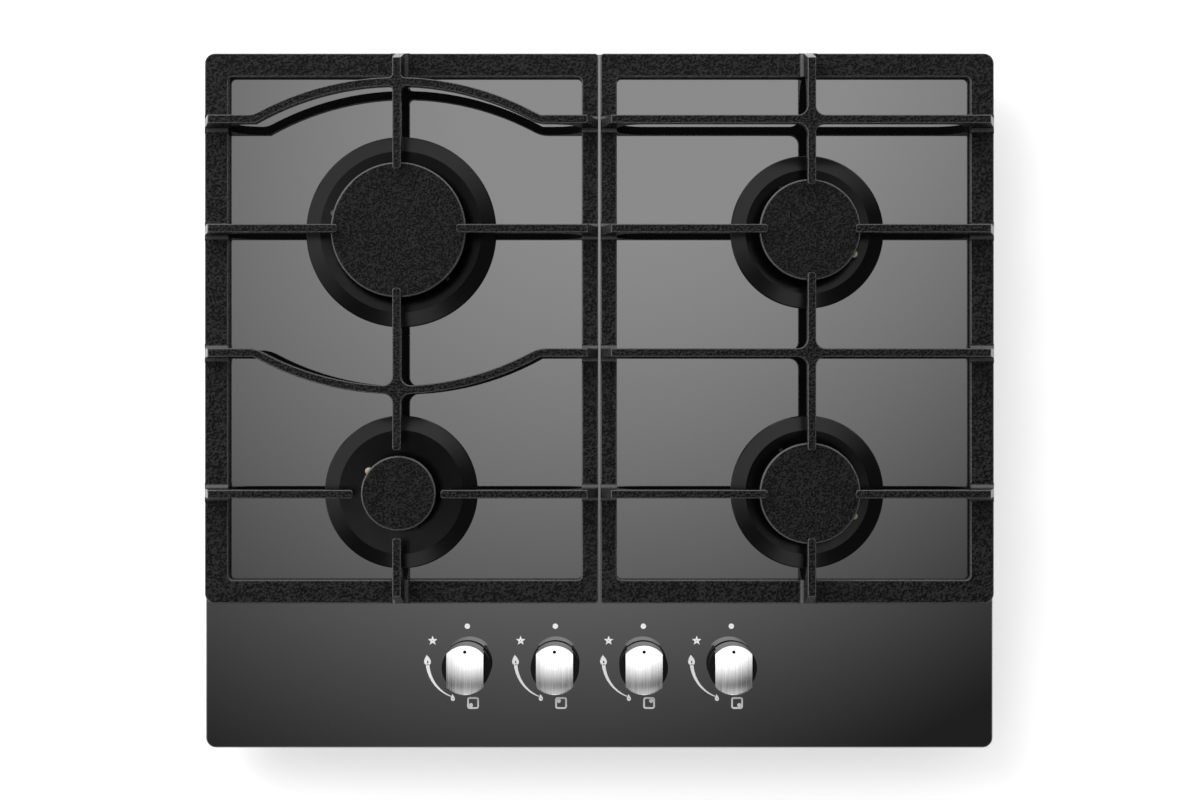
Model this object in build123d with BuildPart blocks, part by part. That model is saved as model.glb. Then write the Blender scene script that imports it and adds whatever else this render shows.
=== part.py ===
from build123d import *
import os
from collections import namedtuple
from math import copysign, cos, radians, sin, sqrt

# Built-in gas cooktop with a glass top, four burners, four knobs and two pan supports.
# Millimetres. X runs left to right, Y from the user to the back, Z up from the box floor.
# The origin is under the middle of the glass, at the bottom of the steel box.

# ---- Glass top ------------------------------------------------------------------------
GLASS_W = 590.0                 # side to side
GLASS_D = 520.0                 # front to back
GLASS_T = 6.0
GLASS_CORNER_R = 7.5
GLASS_BEVEL = 0.8               # ground edge
SEAL_T = 3.0                    # foam gasket between glass and worktop
SEAL_EDGE = 2.0                 # glass edge to gasket

# ---- Steel box under the glass ----------------------------------------------------------
BOX_H = 48.0
SHEET = 1.0
BOX_SIDE_INSET = 18.0           # glass edge to box wall, left and right
BOX_END_INSET = 23.0            # glass edge to box wall, front and back
BOX_CORNER_R = 10.0
BOX_FLANGE = 6.0                # lip that is bonded to the glass
FLANGE_GAP = 1.0                # lip to gasket
BAY_W = 72.0                    # recess at the rear right for the two entries
BAY_D = 34.0
VENT_L = 40.0                   # air slots in the box floor
VENT_W = 4.0
VENT_PITCH = 24.0
VENT_COUNT = 6
VENT_SIDE = 42.0                # box wall to the outer rows of slots
CLAMP_HOLE_X = 500.0            # worktop clamp screw holes
CLAMP_HOLE_Y = 360.0
M4_HOLE_R = 2.1

# ---- Burner places ----------------------------------------------------------------------
LEFT_INSET = 146.6              # glass edge to left burner centres
RIGHT_INSET = 139.4             # glass edge to right burner centres
REAR_INSET = 133.5              # glass edge to rear burner centres
ROW_PITCH = 194.7               # rear to front burner centres

# ---- Burners: radii in plan, heights above the glass -------------------------------------
RAPID_CAP_R = 50.0
SEMI_CAP_R = 37.4
AUX_CAP_R = 27.7
RAPID_BASE_R = 71.3
SMALL_BASE_R = 57.3
CAP_OVERHANG = 5.5              # cap edge beyond the flame ring
CAP_T = 5.0
CAP_EDGE_R = 1.6
CAP_SKIN = 2.5                  # cap thickness over its hollow
CAP_UNDER_BEVEL = 0.6
CAP_RIM_DEPTH = 2.8             # locating rim under the cap
RING_TOP = 20.0                 # top of the flame ring
RING_WALL = 4.0
RING_FLOOR = 10.0
RING_FLOOR_T = 2.5
PORT_W = 2.0
PORT_DEPTH = 5.5
TUBE_R = 9.0                    # mixing tube bore
TUBE_WALL = 1.5
TUBE_DROP = 16.0                # mixing tube below the glass top
SKIRT_DEPTH = 4.0               # part of the flame ring inside the cup
SKIRT_WALL = 2.0
CUP_RIM_H = 5.5                 # cup rim above the glass
CUP_RIM_W = 4.0
CUP_WALL = 2.5
CUP_FLOOR_T = 3.0
CUP_FLANGE_W = 7.5              # flange that carries igniter and probe
CUP_FLANGE_T = 2.8
CUP_FLANGE_DROP = 3.2           # flange top below the glass top
BOSS_R = 8.0                    # jet holder in the cup
BOSS_TOP = 20.0                 # above the box floor line
BASE_SLOPE_W = 11.0             # outer cone of the ring plate
BASE_CREST_H = 4.6
BASE_INNER_H = 3.2
BASE_RIM_H = 1.7
BASE_SKIN = 1.6
BASE_FOOT_W = 3.0
GLASS_HOLE_GAP = 1.0            # cup flange to glass hole
IGNITER_OFFSET = 6.0            # flame ring edge to electrode axis
IGNITER_R = 2.5
IGNITER_TOP = 15.0
IGNITER_TAIL = 22.0             # ceramic below the glass top
COLLAR_R = 3.6
COLLAR_T = 2.2
WIRE_R = 0.8
WIRE_TOP = 17.6
PROBE_OFFSET = 5.5
PROBE_R = 1.5
PROBE_TOP = 16.0
PROBE_TAIL = 14.0
PROBE_TURN = 150.0              # degrees from electrode to probe
JET_FLATS = 7.0
JET_H = 6.0
JET_STEM_R = 2.9
JET_STEM_L = 5.0
JET_BORE_R = 0.6
CUP_SCREW_IN = 10.5             # cup wall to its screws

# ---- Gas train ----------------------------------------------------------------------------
PIPE_R = 4.0
PIPE_WALL = 1.0
PIPE_Z = 12.0
PIPE_SEAT = 2.0                 # pipe ends inside their sockets
GAS_WAY_R = 2.0
LONG_BEND_R = 25.0
SHORT_BEND_R = 16.0
BEND_STRAIGHT = 2.0             # straight tube left between two bends
SHORT_BEND_Y = 48.0             # knob row to the cross run of the front pipes
RAIL_R = 7.0
RAIL_WALL = 1.4
RAIL_Z = 20.0
RAIL_BACK = 20.0                # rail axis in front of the spindles
RAIL_END = 16.0                 # rail beyond the first tap
RAIL_BEND_R = 30.0
INLET_THREAD_R = 10.48          # G1/2 outside thread
INLET_THREAD_L = 16.0
INLET_NUT_R = 13.5
INLET_NUT_T = 4.0
INLET_NECK_R = 9.4
INLET_SIDE = 25.0               # box side wall to inlet axis
GLAND_SIDE = 55.0               # box side wall to cable gland axis
GLAND_Z = 22.0
GLAND_R = 9.0
GLAND_NECK_R = 6.0
GLAND_BORE_R = 3.75
GLAND_T = 3.0

# ---- Taps, spindles and knobs ---------------------------------------------------------------
KNOB_PITCH = 66.0
KNOB_INSET = 61.8               # glass front edge to the knob row
TAP_R = 11.0
TAP_BOTTOM = 5.0
TAP_TOP = 37.0
TAP_EAR = 14.5                  # half width over the screw ears
TAP_EAR_T = 6.0
TAP_SCREW_X = 11.2
SADDLE_W = 18.0
TAP_OUTLET_L = 18.0
TAP_OUTLET_R = 6.0
MAGNET_R = 6.5                  # flame-failure magnet housing
MAGNET_L = 26.0
PLUG_Z = 10.0
PLUG_TOP = 26.0
PLUG_R = 5.0
PLUG_TOP_R = 7.0
CHAMBER_R = 7.5
SPINDLE_R = 3.0
SPINDLE_COLLAR_R = 6.5
SPINDLE_COLLAR_T = 2.2
SPINDLE_END_GAP = 0.2           # collar to the bracket
SPINDLE_TOP = 22.0              # above the glass
SPINDLE_FLAT = 1.8              # axis to the flat
TANG_R = 2.5
TANG_FLAT = 1.6
TANG_BOTTOM = 21.0
KNOB_TRAVEL = 3.5               # push before the knob turns
SPRING_R = 5.2
SPRING_WIRE_R = 0.45
SPRING_TURNS = 3
BRACKET_T = 1.2
BRACKET_FRONT = 11.0
BRACKET_DEPTH = 25.0
BRACKET_OVERHANG = 32.0         # bracket beyond the outer taps
BRACKET_FOOT = 12.0
BRACKET_HOLE_R = 4.6
SWITCH_W = 18.0
SWITCH_D = 8.0
SWITCH_H = 6.0
SWITCH_Y = 10.5
SWITCH_NUB = 1.0
GROMMET_R = 9.5
GROMMET_LIP = 1.2
GROMMET_BORE_R = 3.3
SPINDLE_HOLE_R = 7.0
KNOB_R = 18.0                   # black core
KNOB_FOOT = 4.0                 # knob above the glass, released
KNOB_DECK = 16.5                # top of the full round part
KNOB_DECK_T = 2.5
KNOB_SKIRT_WALL = 2.4
KNOB_HUB_R = 6.0
KNOB_HUB_FOOT = 7.0
COVER_R = 18.35                 # metal sleeve
COVER_HALF_W = 13.6             # axis to the side flats
COVER_WALL = 1.2
COVER_FOOT = 4.6
COVER_TOP = 30.0
COVER_CROWN = 0.8               # rise of the top over its edge
COVER_EDGE = 0.8
MARK_R = 1.0                    # black index dot
MARK_Y = 13.4

# ---- Pan supports -----------------------------------------------------------------------------
SUPPORT_EDGE = 0.5              # glass edge to support edge
SUPPORT_GAP = 1.8               # between the two supports
SUPPORT_FRONT = 82.9            # front burner centre to front edge
SUPPORT_H = 38.0                # rib tops above the glass
BAND_W = 17.6
BAND_GAP_W = 12.2               # narrower where the two supports meet
BAND_T = 6.0
BAND_EDGE_R = 1.2
BAND_CORNER_R = 7.5
BAND_GAP_CORNER_R = 2.5
BAND_INNER_R = 3.5
RIB_W = 6.2
RIB_DEPTH = 8.0
RIB_EDGE_R = 0.9
RIB_END_SLOPE = 7.8             # rib end leans in from the band edge
RIB_FLARE = 3.8
RIB_CROSS_R = 7.0
APEX_CROSS_R = 3.0
REAR_BAR = 80.0                 # rear burner centre to rear bar
FRONT_BAR = 91.0                # rear burner centre to front bar
ARCH_RISE = 27.4
ARCH_RUN = 24.2                 # band to the start of the bow
ARCH_BLEND_R = 16.0
RAPID_TIP_R = 44.0              # burner centre to finger tips
SMALL_TIP_R = 32.5
TIP_LEAN = 1.5
TIP_FACE = 6.0
TIP_RUN = 10.0
TIP_CORNER_R = 1.4
PAD_R = 5.5                     # rubber feet
PAD_H = 2.0
PAD_STEM_R = 2.4
PAD_STEM_L = 3.0
PAD_INSET = 24.0

# ---- Small electrical pieces --------------------------------------------------------------------
SPARK_W = 60.0
SPARK_D = 36.0
SPARK_H = 24.0
SPARK_WALL_GAP = 24.0           # box rear wall to the module
SPARK_POST_R = 2.5
SPARK_POST_L = 5.0
SPARK_POST_PITCH = 14.0
LEAD_R = 1.5
LEAD_Z = 20.0
LEAD_BEND_R = 5.0
LEAD_LANE = 25.0                # module posts to the lanes of the front leads
LEAD_ROW = 48.0                 # front burner centre to its lead's cross run
LEAD_CUP_GAP = 10.5

# ---- Screws and fits ------------------------------------------------------------------------------
SCREW_HEAD_R = 3.6
SCREW_HEAD_H = 2.4
SCREW_R = 2.0
SCREW_L = 4.0
SEAT = 0.2                      # gap under pieces that lift off
TURN_GAP = 0.06                 # plug in its tap
SLIDE_GAP = 0.1                 # tang in its plug
EASE = 0.1                      # fixed pieces in their holes
LOOSE = 0.4                     # lift-off pieces in their guides

# ---- Places worked out from the sizes above --------------------------------------------------------
GLASS_TOP = BOX_H + GLASS_T
LEFT_X = -GLASS_W / 2 + LEFT_INSET
RIGHT_X = GLASS_W / 2 - RIGHT_INSET
REAR_Y = GLASS_D / 2 - REAR_INSET
FRONT_Y = REAR_Y - ROW_PITCH
KNOB_Y = -GLASS_D / 2 + KNOB_INSET
KNOB_X = [(n - 1.5) * KNOB_PITCH for n in range(4)]
BOX_X = GLASS_W / 2 - BOX_SIDE_INSET
BOX_Y = GLASS_D / 2 - BOX_END_INSET
BAY_Y = BOX_Y - BAY_D
RAIL_Y = KNOB_Y - RAIL_BACK
INLET_X = BOX_X - INLET_SIDE
GLAND_X = BOX_X - GLAND_SIDE
BRACKET_X = KNOB_X[-1] + BRACKET_OVERHANG
COLLAR_BOTTOM = TAP_TOP - SPINDLE_END_GAP - SPINDLE_COLLAR_T
TO_BACK = (0, 1, 0)
RIB_TOP = GLASS_TOP + SUPPORT_H
RIB_UNDER = RIB_TOP - RIB_DEPTH
BAND_Z = GLASS_TOP + PAD_H
BAND_TOP = BAND_Z + BAND_T

Burner = namedtuple("Burner", "name x y cap_r base_r tip_r ports spark_angle feed")
BURNERS = (
    Burner("rear_left", LEFT_X, REAR_Y, RAPID_CAP_R, RAPID_BASE_R, RAPID_TIP_R, 40, 165, "side"),
    Burner("front_left", LEFT_X, FRONT_Y, AUX_CAP_R, SMALL_BASE_R, SMALL_TIP_R, 18, 145, "front"),
    Burner("rear_right", RIGHT_X, REAR_Y, SEMI_CAP_R, SMALL_BASE_R, SMALL_TIP_R, 28, -27, "side"),
    Burner("front_right", RIGHT_X, FRONT_Y, SEMI_CAP_R, SMALL_BASE_R, SMALL_TIP_R, 28, -27, "front"),
)
KNOB_OF = {"front_left": 0, "rear_left": 1, "rear_right": 2, "front_right": 3}

os.makedirs("parts", exist_ok=True)


def save(piece, name):
    """Label a finished piece and write it."""
    piece.part.label = name
    export_step(piece.part, f"parts/{name}.step")


def turn(x, y, outline, mode=Mode.ADD):
    """Turn a closed (radius, height) outline about the upright axis at x, y."""
    with BuildSketch(Plane(origin=(x, y, 0), x_dir=(1, 0, 0), z_dir=(0, -1, 0))) as side:
        with BuildLine():
            Polyline(*outline, close=True)
        make_face()
    revolve(side.sketch, axis=Axis((x, y, 0), (0, 0, 1)), mode=mode)


def post(x, y, radius, low, high, mode=Mode.ADD):
    """An upright round post between two heights."""
    with Locations((x, y, low)):
        Cylinder(radius, high - low, align=(Align.CENTER, Align.CENTER, Align.MIN), mode=mode)


def block(low, high, mode=Mode.ADD):
    """A box between its lowest and highest corners."""
    with Locations(low):
        Box(*(b - a for a, b in zip(low, high)), align=(Align.MIN,) * 3, mode=mode)


def rod(start, direction, radius, length, mode=Mode.ADD):
    """A round rod from a point along a direction."""
    with BuildSketch(Plane(origin=start, z_dir=direction)) as end:
        Circle(radius)
    extrude(end.sketch, amount=length, mode=mode)


def tube(points, radius, wall, bends):
    """A bent tube along straight runs and round bends."""
    with BuildLine() as path:
        FilletPolyline(*points, radius=bends)
    with BuildSketch(Plane(origin=path.line @ 0, z_dir=path.line % 0)) as end:
        Circle(radius)
        Circle(radius - wall, mode=Mode.SUBTRACT)
    sweep(end.sketch, path=path.line)


def ring_r(burner):
    """Radius of the flame ring under a cap."""
    return burner.cap_r - CAP_OVERHANG


def beside(burner, offset, angle):
    """A place outside the flame ring, at an angle round the burner."""
    reach = ring_r(burner) + offset
    return burner.x + reach * cos(radians(angle)), burner.y + reach * sin(radians(angle))


def cup_r(burner):
    """Outer radius of the cup under a flame ring."""
    return ring_r(burner) + CUP_RIM_W / 2


def flange_r(burner):
    """Radius of the cup's flange inside the glass hole."""
    return cup_r(burner) + CUP_FLANGE_W


def spark_place(burner):
    return beside(burner, IGNITER_OFFSET, burner.spark_angle)


def probe_place(burner):
    return beside(burner, PROBE_OFFSET, burner.spark_angle + PROBE_TURN)


def feed_direction(burner):
    """Unit vector from the cup's axis towards the pipe that feeds it."""
    if burner.feed == "front":
        return 0, -1, 0
    return -copysign(1, burner.x), 0, 0


def cup_screw_places(burner):
    """The cup's two screws, square to its pipe."""
    reach = cup_r(burner) - CUP_SCREW_IN
    dx, dy, _ = feed_direction(burner)
    return [(burner.x + side * reach * dy, burner.y + side * reach * dx) for side in (-1, 1)]


# ==== Glass, gasket and box =============================================================================
def box_outline(inset):
    """Plan of the box, drawn in by an inset, with the rear right bay cut away."""
    RectangleRounded(2 * (BOX_X - inset), 2 * (BOX_Y - inset), BOX_CORNER_R - inset)
    with Locations((BOX_X - BAY_W - inset, BAY_Y - inset)):
        Rectangle(2 * BAY_W, 2 * BAY_D, align=(Align.MIN, Align.MIN), mode=Mode.SUBTRACT)


with BuildPart() as glass:
    with BuildSketch(Plane.XY.offset(BOX_H)):
        RectangleRounded(GLASS_W, GLASS_D, GLASS_CORNER_R)
    extrude(amount=GLASS_T)
    chamfer(glass.faces().sort_by(Axis.Z)[-1].edges(), GLASS_BEVEL)
    for burner in BURNERS:
        post(burner.x, burner.y, flange_r(burner) + GLASS_HOLE_GAP, BOX_H, GLASS_TOP, Mode.SUBTRACT)
    for x in KNOB_X:
        post(x, KNOB_Y, SPINDLE_HOLE_R, BOX_H, GLASS_TOP, Mode.SUBTRACT)
save(glass, "glass_panel")

with BuildPart() as gasket:
    with BuildSketch(Plane.XY.offset(BOX_H - SEAL_T)):
        RectangleRounded(GLASS_W - 2 * SEAL_EDGE, GLASS_D - 2 * SEAL_EDGE, GLASS_CORNER_R - SEAL_EDGE)
        RectangleRounded(2 * (BOX_X + BOX_FLANGE + FLANGE_GAP), 2 * (BOX_Y + BOX_FLANGE + FLANGE_GAP),
                         BOX_CORNER_R, mode=Mode.SUBTRACT)
    extrude(amount=SEAL_T)
save(gasket, "worktop_seal")

with BuildPart() as box:
    with BuildSketch():
        box_outline(0)
    extrude(amount=BOX_H)
    with BuildSketch(Plane.XY.offset(BOX_H - SHEET)):
        box_outline(-BOX_FLANGE)
    extrude(amount=SHEET)
    with BuildSketch(Plane.XY.offset(SHEET)):
        box_outline(SHEET)
    extrude(amount=BOX_H, mode=Mode.SUBTRACT)
    with BuildSketch():
        with GridLocations(BOX_X - VENT_SIDE, VENT_PITCH, 3, VENT_COUNT):
            SlotOverall(VENT_L, VENT_W)
        with GridLocations(CLAMP_HOLE_X, CLAMP_HOLE_Y, 2, 2):
            Circle(M4_HOLE_R)
        for burner in BURNERS:
            with Locations(*cup_screw_places(burner)):
                Circle(M4_HOLE_R)
    extrude(amount=SHEET, mode=Mode.SUBTRACT)
    rod((INLET_X, BAY_Y - 2 * SHEET, RAIL_Z), TO_BACK, INLET_NECK_R + EASE, 3 * SHEET, Mode.SUBTRACT)
    rod((GLAND_X, BAY_Y - 2 * SHEET, GLAND_Z), TO_BACK, GLAND_NECK_R + EASE, 3 * SHEET, Mode.SUBTRACT)
save(box, "burner_box")


# ==== Burners ===========================================================================================
def burner_cup(burner):
    """Cast cup that stands on the box floor and comes up through the glass."""
    outer, inner = cup_r(burner), cup_r(burner) - CUP_RIM_W
    flange, flange_top = flange_r(burner), GLASS_TOP - CUP_FLANGE_DROP
    flange_low = flange_top - CUP_FLANGE_T
    rim, floor = GLASS_TOP + CUP_RIM_H, SHEET + CUP_FLOOR_T
    thin = outer - CUP_WALL
    dx, dy, _ = feed_direction(burner)
    with BuildPart() as cup:
        turn(burner.x, burner.y, [
            (0, SHEET), (outer, SHEET), (outer, flange_low), (flange, flange_low), (flange, flange_top),
            (outer, flange_top), (outer, rim), (inner, rim), (inner, flange_low - CUP_RIM_W),
            (thin, flange_low - 2 * CUP_RIM_W), (thin, floor), (BOSS_R, floor), (BOSS_R, BOSS_TOP),
            (0, BOSS_TOP)])
        for x, y in cup_screw_places(burner):
            post(x, y, M4_HOLE_R, SHEET, floor, Mode.SUBTRACT)
        for (x, y), radius in ((spark_place(burner), IGNITER_R), (probe_place(burner), PROBE_R)):
            post(x, y, radius + EASE, flange_low, flange_top, Mode.SUBTRACT)
        post(burner.x, burner.y, JET_STEM_R + EASE, BOSS_TOP - JET_STEM_L, BOSS_TOP, Mode.SUBTRACT)
        post(burner.x, burner.y, GAS_WAY_R, PIPE_Z, BOSS_TOP, Mode.SUBTRACT)
        rod((burner.x, burner.y, PIPE_Z), (dx, dy, 0), GAS_WAY_R, BOSS_R, Mode.SUBTRACT)
        seat = BOSS_R - PIPE_SEAT
        rod((burner.x + seat * dx, burner.y + seat * dy, PIPE_Z), (dx, dy, 0), PIPE_R + EASE,
            outer, Mode.SUBTRACT)
    return cup


def burner_base(burner):
    """Ring plate on the glass round the cup: an outer cone, a crest and a shallow dish."""
    neck, rim = cup_r(burner) + EASE, burner.base_r
    crest = rim - BASE_SLOPE_W
    outline = [
        (neck, 0), (neck, BASE_INNER_H), (crest, BASE_CREST_H), (rim - BASE_RIM_H / 2, BASE_RIM_H),
        (rim, BASE_RIM_H / 2), (rim, 0), (rim - BASE_FOOT_W, 0),
        (rim - BASE_FOOT_W, BASE_RIM_H / 2), (crest, BASE_CREST_H - BASE_SKIN),
        (neck + BASE_FOOT_W, BASE_INNER_H - BASE_SKIN), (neck + BASE_FOOT_W, 0)]
    with BuildPart() as base:
        turn(burner.x, burner.y, [(r, GLASS_TOP + h) for r, h in outline])
        for (x, y), radius in ((spark_place(burner), IGNITER_R), (probe_place(burner), PROBE_R)):
            post(x, y, radius + LOOSE, GLASS_TOP, GLASS_TOP + BASE_CREST_H, Mode.SUBTRACT)
    return base


def flame_spreader(burner):
    """Cast ring with flame ports round its top and a mixing tube down its middle."""
    outer, inner = ring_r(burner), ring_r(burner) - RING_WALL
    skirt = cup_r(burner) - CUP_RIM_W - LOOSE
    tube_outer = TUBE_R + TUBE_WALL
    under_floor = RING_FLOOR - RING_FLOOR_T
    outline = [
        (outer, CUP_RIM_H + SEAT), (outer, RING_TOP), (inner, RING_TOP), (inner, RING_FLOOR),
        (TUBE_R, RING_FLOOR), (TUBE_R, -TUBE_DROP), (tube_outer, -TUBE_DROP), (tube_outer, under_floor),
        (skirt - SKIRT_WALL, under_floor), (skirt - SKIRT_WALL, CUP_RIM_H - SKIRT_DEPTH),
        (skirt, CUP_RIM_H - SKIRT_DEPTH), (skirt, CUP_RIM_H + SEAT)]
    with BuildPart() as spreader:
        turn(burner.x, burner.y, [(r, GLASS_TOP + h) for r, h in outline])
        with Locations((burner.x, burner.y, GLASS_TOP + RING_TOP)):
            with PolarLocations(outer - RING_WALL / 2, burner.ports):
                Box(2 * RING_WALL, PORT_W, 2 * PORT_DEPTH, mode=Mode.SUBTRACT)
    return spreader


def burner_cap(burner):
    """Enamelled lid with a locating rim underneath."""
    top, under = GLASS_TOP + RING_TOP + SEAT + CAP_T, GLASS_TOP + RING_TOP + SEAT
    rim = ring_r(burner) - RING_WALL - LOOSE
    with BuildPart() as cap:
        turn(burner.x, burner.y, [
            (0, top), (burner.cap_r, top), (burner.cap_r, under), (rim, under),
            (rim, under - CAP_RIM_DEPTH), (rim - SKIRT_WALL, under - CAP_RIM_DEPTH),
            (rim - SKIRT_WALL, top - CAP_SKIN), (0, top - CAP_SKIN)])
        rings = cap.edges().filter_by(GeomType.CIRCLE)
        fillet(rings.group_by(Axis.Z)[-1], CAP_EDGE_R)
        rings = cap.edges().filter_by(GeomType.CIRCLE)
        lower_rim = [e for e in rings if e.radius > burner.cap_r - EASE]
        chamfer(ShapeList(lower_rim).sort_by(Axis.Z)[0], CAP_UNDER_BEVEL)
    return cap


for burner in BURNERS:
    save(burner_cup(burner), f"burner_cup_{burner.name}")
    save(burner_base(burner), f"burner_base_{burner.name}")
    save(flame_spreader(burner), f"flame_spreader_{burner.name}")
    save(burner_cap(burner), f"burner_cap_{burner.name}")

with BuildPart() as igniters:
    for burner in BURNERS:
        x, y = spark_place(burner)
        collar_low = GLASS_TOP - CUP_FLANGE_DROP
        post(x, y, IGNITER_R, GLASS_TOP - IGNITER_TAIL, GLASS_TOP + IGNITER_TOP)
        post(x, y, COLLAR_R, collar_low, collar_low + COLLAR_T)
        post(x, y, WIRE_R, GLASS_TOP + IGNITER_TOP, GLASS_TOP + WIRE_TOP)
save(igniters, "igniters")

with BuildPart() as probes:
    for burner in BURNERS:
        x, y = probe_place(burner)
        collar_low = GLASS_TOP - CUP_FLANGE_DROP
        post(x, y, PROBE_R, GLASS_TOP - PROBE_TAIL, GLASS_TOP + PROBE_TOP)
        post(x, y, COLLAR_R - PROBE_R / 2, collar_low, collar_low + COLLAR_T)
save(probes, "thermocouples")

with BuildPart() as jets:
    for burner in BURNERS:
        with BuildSketch(Plane(origin=(burner.x, burner.y, BOSS_TOP))):
            RegularPolygon(JET_FLATS / 2, 6, major_radius=False)
        extrude(amount=JET_H)
        post(burner.x, burner.y, JET_STEM_R, BOSS_TOP - JET_STEM_L, BOSS_TOP)
    for burner in BURNERS:
        post(burner.x, burner.y, JET_BORE_R, BOSS_TOP - JET_STEM_L, BOSS_TOP + JET_H, Mode.SUBTRACT)
save(jets, "injectors")


# ==== Gas train =========================================================================================
def pipe_route(burner):
    """Corner points of a pipe from its tap's outlet to its burner cup."""
    dx, dy, _ = feed_direction(burner)
    tap_x = KNOB_X[KNOB_OF[burner.name]]
    start = (tap_x, KNOB_Y + TAP_OUTLET_L - PIPE_SEAT, PIPE_Z)
    end = (burner.x + (BOSS_R - PIPE_SEAT) * dx, burner.y + (BOSS_R - PIPE_SEAT) * dy, PIPE_Z)
    if burner.feed == "side":
        return [start, (tap_x, burner.y, PIPE_Z), end], LONG_BEND_R
    cross_y = KNOB_Y + SHORT_BEND_Y
    bend = min(SHORT_BEND_R, (abs(burner.x - tap_x) - BEND_STRAIGHT) / 2)
    return [start, (tap_x, cross_y, PIPE_Z), (burner.x, cross_y, PIPE_Z), end], bend


with BuildPart() as pipes:
    for burner in BURNERS:
        route, bend = pipe_route(burner)
        tube(route, PIPE_R, PIPE_WALL, bend)
save(pipes, "gas_pipes")

with BuildPart() as rail:
    tube([(KNOB_X[0] - RAIL_END, RAIL_Y, RAIL_Z), (INLET_X, RAIL_Y, RAIL_Z), (INLET_X, BAY_Y, RAIL_Z)],
         RAIL_R, RAIL_WALL, RAIL_BEND_R)
    rod((KNOB_X[0] - RAIL_END, RAIL_Y, RAIL_Z), (1, 0, 0), RAIL_R, RAIL_WALL)
    for x in KNOB_X:
        rod((x, RAIL_Y, RAIL_Z), TO_BACK, GAS_WAY_R, RAIL_R + RAIL_WALL, Mode.SUBTRACT)
save(rail, "gas_rail")


def wall_nut(x, y, z, radius, length):
    """A hexagon nut whose axis runs to the back."""
    with BuildSketch(Plane(origin=(x, y, z), z_dir=TO_BACK)) as end:
        RegularPolygon(radius, 6)
    extrude(end.sketch, amount=length)


with BuildPart() as inlet:
    wall_nut(INLET_X, BAY_Y - SHEET - INLET_NUT_T, RAIL_Z, INLET_NUT_R, INLET_NUT_T)
    wall_nut(INLET_X, BAY_Y, RAIL_Z, INLET_NUT_R, INLET_NUT_T)
    rod((INLET_X, BAY_Y - SHEET, RAIL_Z), TO_BACK, INLET_NECK_R, SHEET)
    rod((INLET_X, BAY_Y + INLET_NUT_T, RAIL_Z), TO_BACK, INLET_THREAD_R, INLET_THREAD_L)
    rod((INLET_X, BAY_Y - SHEET - INLET_NUT_T, RAIL_Z), TO_BACK, RAIL_R + EASE, SHEET + INLET_NUT_T,
        Mode.SUBTRACT)
    rod((INLET_X, BAY_Y, RAIL_Z), TO_BACK, RAIL_R - RAIL_WALL, INLET_NUT_T + INLET_THREAD_L, Mode.SUBTRACT)
save(inlet, "gas_inlet")

with BuildPart() as gland:
    wall_nut(GLAND_X, BAY_Y - SHEET - GLAND_T, GLAND_Z, GLAND_R, GLAND_T)
    rod((GLAND_X, BAY_Y - SHEET, GLAND_Z), TO_BACK, GLAND_NECK_R, SHEET)
    rod((GLAND_X, BAY_Y, GLAND_Z), TO_BACK, GLAND_R, 2 * GLAND_T)
    rod((GLAND_X, BAY_Y - SHEET - GLAND_T, GLAND_Z), TO_BACK, GLAND_BORE_R, SHEET + 3 * GLAND_T,
        Mode.SUBTRACT)
save(gland, "cable_gland")


# ==== Taps and their bracket ============================================================================
with BuildPart() as bracket:
    front, back = KNOB_Y - BRACKET_FRONT, KNOB_Y - BRACKET_FRONT + BRACKET_DEPTH
    block((-BRACKET_X, front, TAP_TOP), (BRACKET_X, back, TAP_TOP + BRACKET_T))
    for leg in (-BRACKET_X, BRACKET_X - BRACKET_T):
        block((leg, front, SHEET), (leg + BRACKET_T, back, TAP_TOP))
    for foot_x in (-BRACKET_X - BRACKET_FOOT, BRACKET_X):
        block((foot_x, front, SHEET), (foot_x + BRACKET_FOOT, back, SHEET + BRACKET_T))
    for x in KNOB_X:
        post(x, KNOB_Y, BRACKET_HOLE_R, TAP_TOP, TAP_TOP + BRACKET_T, Mode.SUBTRACT)
        for side in (-1, 1):
            post(x + side * TAP_SCREW_X, KNOB_Y, M4_HOLE_R, TAP_TOP, TAP_TOP + BRACKET_T, Mode.SUBTRACT)
save(bracket, "tap_bracket")


def plug_outline(gap):
    """Side of the conical plug, widened by a gap for the bore that it turns in."""
    return [(0, PLUG_Z - gap), (PLUG_R + gap, PLUG_Z - gap), (PLUG_TOP_R + gap, PLUG_TOP), (0, PLUG_TOP)]


def tang(x, radius, flat, low, high, mode=Mode.ADD):
    """A round bar with one flat, on the axis of a knob."""
    with BuildSketch(Plane(origin=(x, KNOB_Y, low))) as end:
        Circle(radius)
        with Locations((flat, 0)):
            Rectangle(radius, 2 * radius, align=(Align.MIN, Align.CENTER), mode=Mode.SUBTRACT)
    extrude(end.sketch, amount=high - low, mode=mode)


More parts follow.
